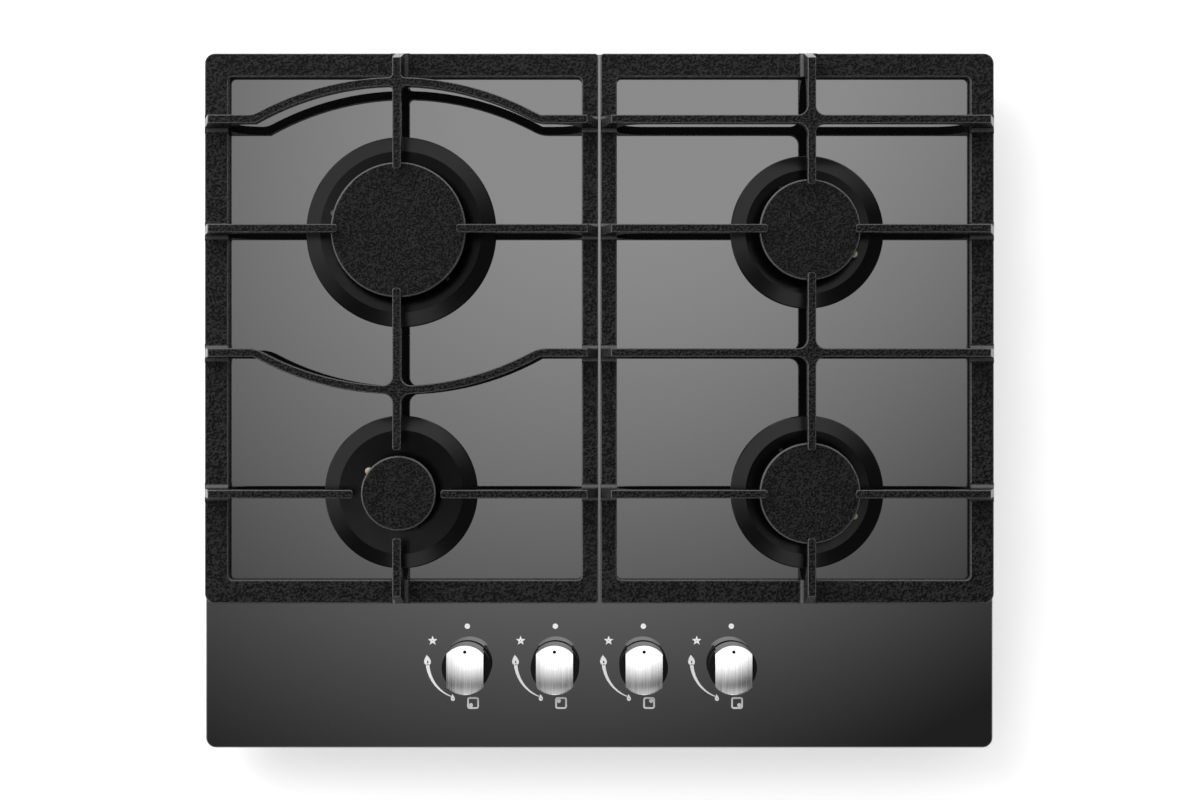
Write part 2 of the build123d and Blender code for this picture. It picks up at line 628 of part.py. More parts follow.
def gas_tap(x):
    """Cast tap body: saddle on the rail, outlet to the back, magnet housing to the left."""
    half = SADDLE_W / 2
    with BuildPart() as body:
        post(x, KNOB_Y, TAP_R, TAP_BOTTOM, TAP_TOP)
        block((x - TAP_EAR, KNOB_Y - TAP_EAR_T / 2, TAP_TOP - TAP_EAR_T),
              (x + TAP_EAR, KNOB_Y + TAP_EAR_T / 2, TAP_TOP))
        block((x - half, RAIL_Y, RAIL_Z - half), (x + half, KNOB_Y, RAIL_Z + half))
        rod((x, KNOB_Y, PIPE_Z), TO_BACK, TAP_OUTLET_R, TAP_OUTLET_L)
        rod((x, KNOB_Y, RAIL_Z), (-1, 0, 0), MAGNET_R, MAGNET_L)
        turn(x, KNOB_Y, plug_outline(TURN_GAP), Mode.SUBTRACT)
        post(x, KNOB_Y, CHAMBER_R, PLUG_TOP, TAP_TOP, Mode.SUBTRACT)
        rod((x - SADDLE_W, RAIL_Y, RAIL_Z), (1, 0, 0), RAIL_R + EASE, 2 * SADDLE_W, Mode.SUBTRACT)
        rod((x, RAIL_Y, RAIL_Z), TO_BACK, GAS_WAY_R, RAIL_BACK, Mode.SUBTRACT)
        rod((x, KNOB_Y, PIPE_Z), TO_BACK, GAS_WAY_R, TAP_OUTLET_L, Mode.SUBTRACT)
        rod((x, KNOB_Y + TAP_OUTLET_L - PIPE_SEAT, PIPE_Z), TO_BACK, PIPE_R + EASE, PIPE_SEAT, Mode.SUBTRACT)
        for side in (-1, 1):
            post(x + side * TAP_SCREW_X, KNOB_Y, M4_HOLE_R, TAP_TOP - SCREW_L, TAP_TOP, Mode.SUBTRACT)
    return body


def tap_plug(x):
    """Conical plug with a gas way across it and a socket for the spindle's tang."""
    with BuildPart() as plug:
        turn(x, KNOB_Y, plug_outline(0))
        rod((x, KNOB_Y - PLUG_R, PIPE_Z + GAS_WAY_R / 2), TO_BACK, GAS_WAY_R, 2 * PLUG_TOP_R, Mode.SUBTRACT)
        tang(x, TANG_R + SLIDE_GAP, TANG_FLAT + SLIDE_GAP, TANG_BOTTOM - KNOB_TRAVEL - SLIDE_GAP, PLUG_TOP,
             Mode.SUBTRACT)
    return plug


def return_spring(x):
    """Coil spring between the plug and the spindle's collar."""
    low = PLUG_TOP + SPRING_WIRE_R + EASE
    height = COLLAR_BOTTOM - SPRING_WIRE_R - SEAT - low
    with BuildPart() as spring:
        with BuildLine() as coil:
            Helix(pitch=height / SPRING_TURNS, height=height, radius=SPRING_R, center=(x, KNOB_Y, low))
        with BuildSketch(Plane(origin=coil.line @ 0, z_dir=coil.line % 0)):
            Circle(SPRING_WIRE_R)
        sweep(path=coil.line, is_frenet=True)
    return spring


def tap_spindle(x):
    """Spindle: tang in the plug, collar under the bracket, flatted shaft up into the knob."""
    top = GLASS_TOP + SPINDLE_TOP
    with BuildPart() as spindle:
        tang(x, TANG_R, TANG_FLAT, TANG_BOTTOM, COLLAR_BOTTOM)
        post(x, KNOB_Y, SPINDLE_COLLAR_R, COLLAR_BOTTOM, COLLAR_BOTTOM + SPINDLE_COLLAR_T)
        post(x, KNOB_Y, SPINDLE_R, COLLAR_BOTTOM + SPINDLE_COLLAR_T, GLASS_TOP + KNOB_HUB_FOOT)
        tang(x, SPINDLE_R, SPINDLE_FLAT, GLASS_TOP + KNOB_HUB_FOOT, top)
    return spindle


# ==== Knobs =============================================================================================
def sleeve_plan(radius, half_width):
    """Plan of the sleeve: a disc with two side flats."""
    Circle(radius)
    Rectangle(2 * half_width, 2 * radius, mode=Mode.INTERSECT)


def knob_body(x):
    """Black moulded core: round skirt, flat-sided block inside the sleeve, hub on the spindle."""
    foot, deck = GLASS_TOP + KNOB_FOOT, GLASS_TOP + KNOB_DECK
    inner_r, inner_w = COVER_R - COVER_WALL - EASE, COVER_HALF_W - COVER_WALL - EASE
    ceiling = GLASS_TOP + COVER_TOP - COVER_CROWN - COVER_WALL - EASE
    hollow_top = ceiling - KNOB_SKIRT_WALL
    with BuildPart() as core:
        post(x, KNOB_Y, KNOB_R, foot, deck)
        with BuildSketch(Plane(origin=(x, KNOB_Y, GLASS_TOP + COVER_FOOT - EASE))):
            Circle(2 * KNOB_R)
            Circle(inner_r, mode=Mode.SUBTRACT)
            Rectangle(2 * (COVER_HALF_W - COVER_WALL + EASE), 4 * KNOB_R, mode=Mode.INTERSECT)
        extrude(amount=deck - foot, mode=Mode.SUBTRACT)
        with BuildSketch(Plane(origin=(x, KNOB_Y, deck))):
            sleeve_plan(inner_r, inner_w)
        extrude(amount=ceiling - deck)
        post(x, KNOB_Y, KNOB_R - KNOB_SKIRT_WALL, foot, deck - KNOB_DECK_T, Mode.SUBTRACT)
        with BuildSketch(Plane(origin=(x, KNOB_Y, deck - KNOB_DECK_T))):
            sleeve_plan(inner_r - KNOB_SKIRT_WALL, inner_w - KNOB_SKIRT_WALL)
        extrude(amount=hollow_top - deck + KNOB_DECK_T, mode=Mode.SUBTRACT)
        post(x, KNOB_Y, KNOB_HUB_R, GLASS_TOP + KNOB_HUB_FOOT, hollow_top)
        tang(x, SPINDLE_R + EASE, SPINDLE_FLAT + EASE, GLASS_TOP + KNOB_HUB_FOOT,
             GLASS_TOP + SPINDLE_TOP + EASE, Mode.SUBTRACT)
        post(x, KNOB_Y + MARK_Y, MARK_R - EASE, ceiling, GLASS_TOP + COVER_TOP - COVER_CROWN)
    return core


def knob_cover(x):
    """Metal sleeve: crowned top with two side flats; its curved walls reach down over the core."""
    foot, top, deck = GLASS_TOP + COVER_FOOT, GLASS_TOP + COVER_TOP, GLASS_TOP + KNOB_DECK
    shoulder, edge_r = top - COVER_CROWN, COVER_R - COVER_EDGE
    crown_r = (edge_r ** 2 + COVER_CROWN ** 2) / (2 * COVER_CROWN)
    halfway = top - crown_r + sqrt(crown_r ** 2 - (edge_r / 2) ** 2)
    bevel = COVER_EDGE * (1 - cos(radians(45)))
    inner_r, inner_w = COVER_R - COVER_WALL, COVER_HALF_W - COVER_WALL
    with BuildPart() as cover:
        with BuildSketch(Plane(origin=(x, KNOB_Y, 0), x_dir=(1, 0, 0), z_dir=(0, -1, 0))):
            with BuildLine():
                Polyline((0, top), (0, foot), (COVER_R, foot), (COVER_R, shoulder - COVER_EDGE))
                ThreePointArc((COVER_R, shoulder - COVER_EDGE), (COVER_R - bevel, shoulder - bevel),
                              (edge_r, shoulder))
                ThreePointArc((edge_r, shoulder), (edge_r / 2, halfway), (0, top))
            make_face()
        revolve(axis=Axis((x, KNOB_Y, 0), (0, 0, 1)))
        block((x - COVER_HALF_W, KNOB_Y - COVER_R, foot), (x + COVER_HALF_W, KNOB_Y + COVER_R, top),
              Mode.INTERSECT)
        with BuildSketch(Plane(origin=(x, KNOB_Y, foot))):
            sleeve_plan(inner_r, inner_w)
        extrude(amount=shoulder - COVER_WALL - foot, mode=Mode.SUBTRACT)
        for side in (-1, 1):
            near, far = sorted((x + side * inner_w, x + side * COVER_R))
            block((near, KNOB_Y - COVER_R, foot), (far, KNOB_Y + COVER_R, deck + EASE), Mode.SUBTRACT)
        post(x, KNOB_Y + MARK_Y, MARK_R, shoulder - COVER_WALL, top, Mode.SUBTRACT)
    return cover


for number, x in enumerate(KNOB_X, 1):
    save(gas_tap(x), f"gas_tap_{number}")
    save(tap_plug(x), f"tap_plug_{number}")
    save(return_spring(x), f"return_spring_{number}")
    save(tap_spindle(x), f"tap_spindle_{number}")
    save(knob_body(x), f"knob_body_{number}")
    save(knob_cover(x), f"knob_cover_{number}")

with BuildPart() as grommets:
    for x in KNOB_X:
        turn(x, KNOB_Y, [
            (GROMMET_BORE_R, BOX_H - GROMMET_LIP), (GROMMET_R, BOX_H - GROMMET_LIP), (GROMMET_R, BOX_H),
            (SPINDLE_HOLE_R - EASE, BOX_H), (SPINDLE_HOLE_R - EASE, GLASS_TOP), (GROMMET_R, GLASS_TOP),
            (GROMMET_R, GLASS_TOP + GROMMET_LIP), (GROMMET_BORE_R, GLASS_TOP + GROMMET_LIP)])
save(grommets, "spindle_seals")

with BuildPart() as switches:
    for x in KNOB_X:
        low, y = TAP_TOP + BRACKET_T, KNOB_Y + SWITCH_Y
        block((x - SWITCH_W / 2, y - SWITCH_D / 2, low), (x + SWITCH_W / 2, y + SWITCH_D / 2, low + SWITCH_H))
        block((x - SWITCH_D / 4, y - SWITCH_D / 2 - SWITCH_NUB, low + SWITCH_H / 3),
              (x + SWITCH_D / 4, y - SWITCH_D / 2, low + SWITCH_H * 2 / 3))
save(switches, "ignition_switches")


# ==== Pan supports ======================================================================================
def strip(x0, y0, x1, y1):
    """A straight bar in plan between two corners."""
    with Locations(((x0 + x1) / 2, (y0 + y1) / 2)):
        Rectangle(abs(x1 - x0), abs(y1 - y0))


def cross_bar(x0, x1, y):
    strip(x0, y - RIB_W / 2, x1, y + RIB_W / 2)


def bowed_bar(x0, x1, y, mid_x, rise):
    """A bar in plan that bows by a rise in an arc round mid_x; returns where the bow starts."""
    half_span = min(mid_x - x0, x1 - mid_x) - BAND_W - ARCH_RUN
    radius = (half_span ** 2 + rise ** 2) / (2 * abs(rise))
    centre_y = y + rise - copysign(radius, rise)
    cut_y = y - copysign(RIB_W / 2, rise)
    arcs = []
    for r in (radius + RIB_W / 2, radius - RIB_W / 2):
        reach = sqrt(r ** 2 - (cut_y - centre_y) ** 2)
        arcs.append(((mid_x - reach, cut_y), (mid_x, centre_y + copysign(r, rise)), (mid_x + reach, cut_y)))
    outer, inner = arcs
    with BuildLine() as bow:
        ThreePointArc(*outer)
        Line(outer[2], inner[2])
        ThreePointArc(*inner)
        Line(inner[0], outer[0])
    make_face(bow.edges())
    cross_bar(x0, inner[0][0], y)
    cross_bar(inner[2][0], x1, y)
    return half_span


def near(vertices, x, y, reach):
    return [v for v in vertices if (v.X - x) ** 2 + (v.Y - y) ** 2 < reach ** 2]


def support_plan(rear, front, edges, rise):
    """Plan of all the ribs of one support, over its two burners."""
    x0, x1, y0, y1 = edges
    rear_bar, front_bar, mid = rear.y + REAR_BAR, rear.y - FRONT_BAR, rear.x
    for burner in (rear, front):
        cross_bar(x0, mid - burner.tip_r, burner.y)
        cross_bar(mid + burner.tip_r, x1, burner.y)
    left, right = mid - RIB_W / 2, mid + RIB_W / 2
    strip(left, rear.y + rear.tip_r, right, y1)
    strip(left, front.y + front.tip_r, right, rear.y - rear.tip_r)
    strip(left, y0, right, front.y - front.tip_r)
    if not rise:
        cross_bar(x0, x1, rear_bar)
        cross_bar(x0, x1, front_bar)
        return [(mid, rear_bar, RIB_CROSS_R), (mid, front_bar, RIB_CROSS_R)], []
    half_span = bowed_bar(x0, x1, rear_bar, mid, rise)
    bowed_bar(x0, x1, front_bar, mid, -rise)
    bends = [(mid + side * half_span, y, turn_up) for side in (-1, 1)
             for y, turn_up in ((rear_bar, 1), (front_bar, -1))]
    return [(mid, rear_bar + rise, APEX_CROSS_R), (mid, front_bar - rise, RIB_CROSS_R)], bends


def side_band(x):
    """Width of the band along a side: it is narrower where the two supports meet."""
    return BAND_GAP_W if abs(x) < SUPPORT_GAP else BAND_W


def rib_foot(x, y, dx, dy):
    """Foot of a rib on the band; (dx, dy) points inwards from the band's outer edge."""
    height, sink = RIB_UNDER - BAND_TOP, BAND_EDGE_R
    band = side_band(x) if dx else BAND_W
    bow = cos(radians(45))
    with BuildSketch(Plane(origin=(x, y, BAND_TOP), x_dir=(dx, dy, 0), z_dir=(dy, -dx, 0))) as side:
        with BuildLine():
            Polyline((band, 0), (band, -sink), (0, -sink), (0, height), (band + height, height))
            ThreePointArc((band + height, height), (band + height * (1 - bow), height * bow), (band, 0))
        make_face()
    extrude(side.sketch, amount=RIB_W / 2, both=True)
    half, wide, flare = RIB_W / 2, RIB_W / 2 + RIB_FLARE, RIB_FLARE * (1 - bow)
    with BuildSketch(Plane(origin=(x, y, BAND_TOP), x_dir=(-dy, dx, 0), z_dir=(dx, dy, 0))) as end:
        with BuildLine():
            ThreePointArc((half, RIB_FLARE), (half + flare, flare), (wide, 0))
            Polyline((wide, 0), (wide, -sink), (-wide, -sink), (-wide, 0))
            ThreePointArc((-wide, 0), (-half - flare, flare), (-half, RIB_FLARE))
            Line((-half, RIB_FLARE), (half, RIB_FLARE))
        make_face()
    extrude(end.sketch, amount=band)


def support_band(edges):
    """Flat band round the support, with softened top edges."""
    x0, x1, y0, y1 = edges
    middle = ((x0 + x1) / 2, (y0 + y1) / 2)
    with BuildPart() as band:
        with BuildSketch(Plane.XY.offset(BAND_Z)) as plan:
            with Locations(middle):
                Rectangle(x1 - x0, y1 - y0)
            for x in (x0, x1):
                corners = [v for v in plan.vertices() if abs(v.X - x) < 1]
                fillet(corners, BAND_GAP_CORNER_R if abs(x) < SUPPORT_GAP else BAND_CORNER_R)
            left, right = x0 + side_band(x0), x1 - side_band(x1)
            with Locations(((left + right) / 2, middle[1])):
                RectangleRounded(right - left, y1 - y0 - 2 * BAND_W, BAND_INNER_R, mode=Mode.SUBTRACT)
        extrude(amount=BAND_T)
        fillet(band.faces().sort_by(Axis.Z)[-1].edges(), BAND_EDGE_R)
    return band


def rib_envelope(edges):
    """The space whose leaning sides cut the rib ends."""
    x0, x1, y0, y1 = edges
    middle = ((x0 + x1) / 2, (y0 + y1) / 2)
    lean = RIB_END_SLOPE
    with BuildPart() as envelope:
        with BuildSketch(Plane.XY.offset(BAND_TOP)):
            with Locations(middle):
                Rectangle(x1 - x0, y1 - y0)
        with BuildSketch(Plane.XY.offset(RIB_TOP)):
            with Locations(middle):
                Rectangle(x1 - x0 - 2 * lean, y1 - y0 - 2 * lean)
        loft()
        block((x0, y0, BAND_Z), (x1, y1, BAND_TOP))
    return envelope


def tip_cut(burner):
    """Thins the fingers from below towards their tips, and leans their end faces."""
    tip, low = burner.tip_r, RIB_UNDER - 1
    turn(burner.x, burner.y, [
        (0, low), (0, RIB_TOP + 1), (tip, RIB_TOP + 1), (tip, RIB_TOP), (tip + TIP_LEAN, RIB_TOP - TIP_FACE),
        (tip + TIP_RUN, RIB_UNDER), (tip + TIP_RUN, low)], Mode.SUBTRACT)


def pan_support(rear, front, edges, rise):
    """Cast support: band, feet, ribs and fingers in one piece."""
    x0, x1, y0, y1 = edges
    with BuildPart() as support:
        with BuildSketch(Plane.XY.offset(RIB_UNDER)) as plan:
            crossings, bends = support_plan(rear, front, edges, rise)
            for x, y, radius in crossings:
                fillet(near(plan.vertices(), x, y, RIB_W), radius)
            for x, y, turn_up in bends:
                for v in near(plan.vertices(), x, y, 2 * RIB_W):
                    outside = (v.Y - y) * turn_up > 0
                    fillet(v, ARCH_BLEND_R if outside else ARCH_BLEND_R + RIB_W)
            for burner in (rear, front):
                tips = [v for v in near(plan.vertices(), burner.x, burner.y, burner.tip_r + 1)]
                fillet(tips, TIP_CORNER_R)
        extrude(amount=RIB_DEPTH)
        rows = (rear.y + REAR_BAR, rear.y, rear.y - FRONT_BAR, front.y)
        for y in rows:
            rib_foot(x0, y, 1, 0)
            rib_foot(x1, y, -1, 0)
        rib_foot(rear.x, y1, 0, -1)
        rib_foot(rear.x, y0, 0, 1)
        for burner in (rear, front):
            tip_cut(burner)
        add(rib_envelope(edges).part, mode=Mode.INTERSECT)
        fillet(support.edges().filter_by_position(Axis.Z, RIB_TOP - EASE, RIB_TOP + EASE), RIB_EDGE_R)
        add(support_band(edges).part)
        for x, y in pad_places(edges):
            post(x, y, PAD_STEM_R + EASE, BAND_Z, BAND_Z + PAD_STEM_L + EASE, Mode.SUBTRACT)
    return support


def pad_places(edges):
    """Centres of a support's four rubber feet, under its band."""
    x0, x1, y0, y1 = edges
    return [(x, y) for x in (x0 + side_band(x0) / 2, x1 - side_band(x1) / 2)
            for y in (y0 + PAD_INSET, y1 - PAD_INSET)]


def support_pads(edges):
    with BuildPart() as pads:
        for x, y in pad_places(edges):
            post(x, y, PAD_R, GLASS_TOP + SEAT, BAND_Z)
            post(x, y, PAD_STEM_R, BAND_Z, BAND_Z + PAD_STEM_L)
    return pads


SUPPORT_OUTER = GLASS_W / 2 - SUPPORT_EDGE
SUPPORT_Y = (FRONT_Y - SUPPORT_FRONT, GLASS_D / 2 - SUPPORT_EDGE)
LEFT_EDGES = (-SUPPORT_OUTER, -SUPPORT_GAP / 2, *SUPPORT_Y)
RIGHT_EDGES = (SUPPORT_GAP / 2, SUPPORT_OUTER, *SUPPORT_Y)
save(pan_support(BURNERS[0], BURNERS[1], LEFT_EDGES, ARCH_RISE), "pan_support_left")
save(pan_support(BURNERS[2], BURNERS[3], RIGHT_EDGES, 0), "pan_support_right")
save(support_pads(LEFT_EDGES), "support_feet_left")
save(support_pads(RIGHT_EDGES), "support_feet_right")


# ==== Ignition and screws ===============================================================================
SPARK_Y = BOX_Y - SHEET - SPARK_WALL_GAP - SPARK_D / 2
POST_X = SPARK_W / 2 + SPARK_POST_L

with BuildPart() as spark:
    with BuildSketch(Plane(origin=(0, SPARK_Y, SHEET))):
        RectangleRounded(SPARK_W, SPARK_D, SPARK_POST_R)
    extrude(amount=SPARK_H)
    fillet(spark.faces().sort_by(Axis.Z)[-1].edges(), SPARK_POST_R / 2)
    for side in (-1, 1):
        for row in (-1, 1):
            rod((side * SPARK_W / 2, SPARK_Y + row * SPARK_POST_PITCH / 2, LEAD_Z), (side, 0, 0),
                SPARK_POST_R, SPARK_POST_L)
save(spark, "spark_generator")


def lead_route(burner):
    """Corner points of a lead from the module to the tail of an electrode."""
    side = copysign(1, burner.x)
    rear = burner.feed == "side"
    end_x, end_y = spark_place(burner)
    start_y = SPARK_Y + (1 if rear else -1) * SPARK_POST_PITCH / 2
    outer_x = end_x if side < 0 else burner.x + cup_r(burner) + LEAD_CUP_GAP
    points = [(side * POST_X, start_y)]
    if not rear:
        lane_x, lane_y = side * (POST_X + LEAD_LANE), burner.y + LEAD_ROW
        points += [(lane_x, start_y), (lane_x, lane_y), (outer_x, lane_y)]
    else:
        points += [(outer_x, start_y)]
    if outer_x != end_x:
        points += [(outer_x, end_y)]
    points += [(end_x, end_y)]
    return [(x, y, LEAD_Z) for x, y in points] + [(end_x, end_y, GLASS_TOP - IGNITER_TAIL)]


with BuildPart() as leads:
    for burner in BURNERS:
        with BuildLine() as route:
            FilletPolyline(*lead_route(burner), radius=LEAD_BEND_R)
        with BuildSketch(Plane(origin=route.line @ 0, z_dir=route.line % 0)):
            Circle(LEAD_R)
        sweep(path=route.line)
save(leads, "ignition_leads")

with BuildPart() as screws:
    seats = [(x, y, SHEET + CUP_FLOOR_T) for burner in BURNERS for x, y in cup_screw_places(burner)]
    seats += [(x + side * TAP_SCREW_X, KNOB_Y, TAP_TOP + BRACKET_T) for x in KNOB_X for side in (-1, 1)]
    for x, y, seat in seats:
        post(x, y, SCREW_R, seat - SCREW_L, seat)
        post(x, y, SCREW_HEAD_R, seat, seat + SCREW_HEAD_H)
save(screws, "m4_screws")
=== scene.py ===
import bpy
from math import cos, pi, radians, sin
from mathutils import Matrix, Vector


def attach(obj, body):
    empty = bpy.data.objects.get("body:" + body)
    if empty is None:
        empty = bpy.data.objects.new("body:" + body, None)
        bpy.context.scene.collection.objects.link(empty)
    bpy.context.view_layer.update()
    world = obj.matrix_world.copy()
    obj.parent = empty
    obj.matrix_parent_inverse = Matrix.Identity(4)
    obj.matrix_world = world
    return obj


# A built-in gas cooktop, put together from the steel box upwards. Lengths are in metres.
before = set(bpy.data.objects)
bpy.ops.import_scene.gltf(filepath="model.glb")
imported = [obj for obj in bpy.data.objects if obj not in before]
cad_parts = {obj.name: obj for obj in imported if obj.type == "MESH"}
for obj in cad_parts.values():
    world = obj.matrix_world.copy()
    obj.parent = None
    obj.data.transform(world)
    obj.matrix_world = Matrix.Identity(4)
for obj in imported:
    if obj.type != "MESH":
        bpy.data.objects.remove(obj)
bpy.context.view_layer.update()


# ---- Steel box and tap bracket -------------------------------------------------------------------
# The box is folded from 1 mm hot-dip galvanised sheet and bonded to the glass by its lip.
# The taps hang from a bridge of the same sheet, screwed to the floor of the box.
class Wire:
    """A socket in a finish. Sums written on it add their Math nodes."""

    def __init__(self, finish, socket):
        self.finish, self.socket = finish, socket

    def sum(self, operation, a, b):
        return self.finish.node("ShaderNodeMath", {"operation": operation}, {0: a, 1: b})

    def __add__(self, other): return self.sum("ADD", self, other)
    def __mul__(self, other): return self.sum("MULTIPLY", self, other)
    def __sub__(self, other): return self.sum("SUBTRACT", self, other)
    def __rsub__(self, other): return self.sum("SUBTRACT", other, self)
    def __truediv__(self, other): return self.sum("DIVIDE", self, other)
    def __pow__(self, other): return self.sum("POWER", self, other)
    __radd__, __rmul__ = __add__, __mul__


class Finish:
    """A procedural finish: fixed shader values, and nodes for what changes over the surface."""

    # Upward parts of the normal between which level turns to edge, and upright turns to edge.
    LEVEL_TO_EDGE, UPRIGHT_TO_EDGE = (0.995, 0.9), (0.1, 0.4)

    def __init__(self, name, color, **fixed):
        self.material = bpy.data.materials.new(name)
        self.material.use_nodes = True
        self.tree = self.material.node_tree
        self.shader = self.tree.nodes["Principled BSDF"]
        self.material.diffuse_color = (*color, 1)
        for socket, value in {"Base Color": (*color, 1), **fixed}.items():
            self.shader.inputs[socket.replace("_", " ")].default_value = value

    def node(self, kind, settings, sockets, output=0):
        made = self.tree.nodes.new(kind)
        for key, value in settings.items():
            setattr(made, key, value)
        for key, value in sockets.items():
            if isinstance(value, Wire):
                self.tree.links.new(value.socket, made.inputs[key])
            else:
                made.inputs[key].default_value = value
        return Wire(self, made.outputs[output])

    def place(self, stretch=(1, 1, 1)):
        """Places on the piece, in metres, stretched for grain that runs one way."""
        spot = self.node("ShaderNodeTexCoord", {}, {}, "Object")
        return self.node("ShaderNodeVectorMath", {"operation": "MULTIPLY"}, {0: spot, 1: stretch})

    def noise(self, size, detail=3.0, rough=0.5, stretch=(1, 1, 1)):
        """Soft noise with lumps of about the given size."""
        return self.node("ShaderNodeTexNoise", {}, {
            "Vector": self.place(stretch), "Scale": 1 / size, "Detail": detail, "Roughness": rough})

    def cells(self, size, feature="F1", output="Distance"):
        return self.node("ShaderNodeTexVoronoi", {"feature": feature},
                         {"Vector": self.place(), "Scale": 1 / size}, output)

    def ramp(self, wire, low, high, to_low=0.0, to_high=1.0):
        """The wire's span from low to high, laid on another span."""
        return self.node("ShaderNodeMapRange", {}, {
            "Value": wire, "From Min": low, "From Max": high, "To Min": to_low, "To Max": to_high})

    def blend(self, amount, a, b):
        """A colour between a and b."""
        a, b = [c if isinstance(c, Wire) else (*c, 1) for c in (a, b)]
        return self.node("ShaderNodeMix", {"data_type": "RGBA"}, {0: amount, 6: a, 7: b}, 2)

    def vary(self, socket, wire):
        self.tree.links.new(wire.socket, self.shader.inputs[socket])

    def relief(self, height, depth, strength=1.0):
        """Relief from a 0 to 1 height, as deep as the real one."""
        self.vary("Normal", self.node("ShaderNodeBump", {}, {
            "Height": height, "Distance": depth, "Strength": strength}))

    def edges(self):
        """1 on rounded upper edges, 0 on level tops and upright sides."""
        facing = self.node("ShaderNodeNewGeometry", {}, {}, "Normal")
        upward = self.node("ShaderNodeSeparateXYZ", {}, {"Vector": facing}, "Z")
        return self.ramp(upward, *self.LEVEL_TO_EDGE) * self.ramp(upward, *self.UPRIGHT_TO_EDGE)

    def dress(self, *nodes):
        for node in nodes:
            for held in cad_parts[node].material_slots:
                held.material = self.material


GALVANISED = (0.56, 0.57, 0.58)
galvanised = Finish("galvanised_sheet", GALVANISED, Metallic=1.0, Roughness=0.42)
spangle = galvanised.cells(0.014, output="Color")
spangle_tone = galvanised.node("ShaderNodeSeparateColor", {}, {"Color": spangle})
galvanised.vary("Base Color", galvanised.blend(spangle_tone, (0.48, 0.49, 0.5), (0.64, 0.65, 0.66)))
galvanised.vary("Roughness", galvanised.ramp(spangle_tone, 0, 1, 0.34, 0.5))
galvanised.relief(galvanised.noise(0.004), 0.0001, 0.4)
galvanised.dress("burner_box", "tap_bracket")

# ---- Worktop gasket ------------------------------------------------------------------------------
# A strip of dark closed-cell foam under the edge of the glass.
# It is stuck to the glass and squeezed on the worktop.
foam = Finish("closed_cell_foam", (0.035, 0.035, 0.037), Roughness=0.9)
foam_cells = foam.cells(0.0009)
foam.vary("Base Color", foam.blend(foam_cells, (0.02, 0.02, 0.021), (0.06, 0.06, 0.062)))
foam.relief(foam_cells, 0.0002, 0.8)
foam.dress("worktop_seal")

# ---- Gas inlet and jets --------------------------------------------------------------------------
# Turned brass: the threaded inlet through the wall of the rear bay, and the jets in the cups.
# Fine rings from the lathe tool stay on the turned faces.
BRASS, DULL_BRASS = (0.78, 0.57, 0.27), (0.55, 0.4, 0.2)
brass = Finish("turned_brass", BRASS, Metallic=1.0, Roughness=0.28)
brass.vary("Base Color", brass.blend(brass.noise(0.006), BRASS, DULL_BRASS))
brass.vary("Roughness", brass.ramp(brass.noise(0.003), 0.3, 0.7, 0.2, 0.4))
brass.relief(brass.noise(0.0006, stretch=(0.2, 1, 0.2)), 0.00004, 0.6)
brass.dress("gas_inlet", "injectors", *[f"tap_plug_{n}" for n in range(1, 5)])

# ---- Cable gland, switches -----------------------------------------------------------------------
# Black glass-filled nylon mouldings: the gland of the supply lead and the ignition switches.
# The mould leaves a fine spark-eroded grain.
nylon = Finish("black_nylon", (0.02, 0.02, 0.021), Roughness=0.55)
nylon.vary("Roughness", nylon.ramp(nylon.noise(0.004), 0.3, 0.7, 0.45, 0.65))
nylon.relief(nylon.noise(0.0004, detail=1), 0.00005, 0.7)
nylon.dress("cable_gland", "ignition_switches")

# ---- Rail and pipes ------------------------------------------------------------------------------
# The rail is zinc-plated steel tube and the burner pipes are drawn aluminium.
# Both are bent cold and pushed into their sockets.
zinc = Finish("zinc_plate", (0.62, 0.62, 0.6), Metallic=1.0, Roughness=0.35)
zinc.vary("Base Color", zinc.blend(zinc.noise(0.012), (0.5, 0.51, 0.5), (0.7, 0.69, 0.64)))
zinc.vary("Roughness", zinc.ramp(zinc.noise(0.005), 0.3, 0.7, 0.26, 0.45))
zinc.relief(zinc.noise(0.001), 0.00003, 0.5)
zinc.dress("gas_rail", "m4_screws", *[f"tap_spindle_{n}" for n in range(1, 5)],
           *[f"return_spring_{n}" for n in range(1, 5)])

drawn = Finish("drawn_aluminium", (0.74, 0.74, 0.75), Metallic=1.0, Roughness=0.32)
drawn.vary("Roughness", drawn.ramp(drawn.noise(0.004), 0.3, 0.7, 0.25, 0.42))
drawn.vary("Base Color", drawn.blend(drawn.noise(0.02), (0.66, 0.66, 0.67), (0.8, 0.8, 0.8)))
drawn.relief(drawn.noise(0.0008), 0.00002, 0.5)
drawn.dress("gas_pipes")

# ---- Taps, burner cups and flame spreaders -------------------------------------------------------
# Pressure-cast aluminium, left as cast and blasted: a dull grey skin with a sandy grain.
# The spreaders turn brown and darker where the flames touch them.
BURNERS = {"rear_left": (-0.1484, 0.1265), "front_left": (-0.1484, -0.0682),
           "rear_right": (0.1556, 0.1265), "front_right": (0.1556, -0.0682)}
cast = Finish("cast_aluminium", (0.5, 0.5, 0.5), Metallic=1.0, Roughness=0.55)
cast.vary("Base Color", cast.blend(cast.noise(0.008), (0.42, 0.42, 0.42), (0.58, 0.58, 0.575)))
cast.relief(cast.noise(0.0007, detail=4), 0.00012, 0.8)
cast.dress(*[f"gas_tap_{n}" for n in range(1, 5)], *[f"burner_cup_{name}" for name in BURNERS])

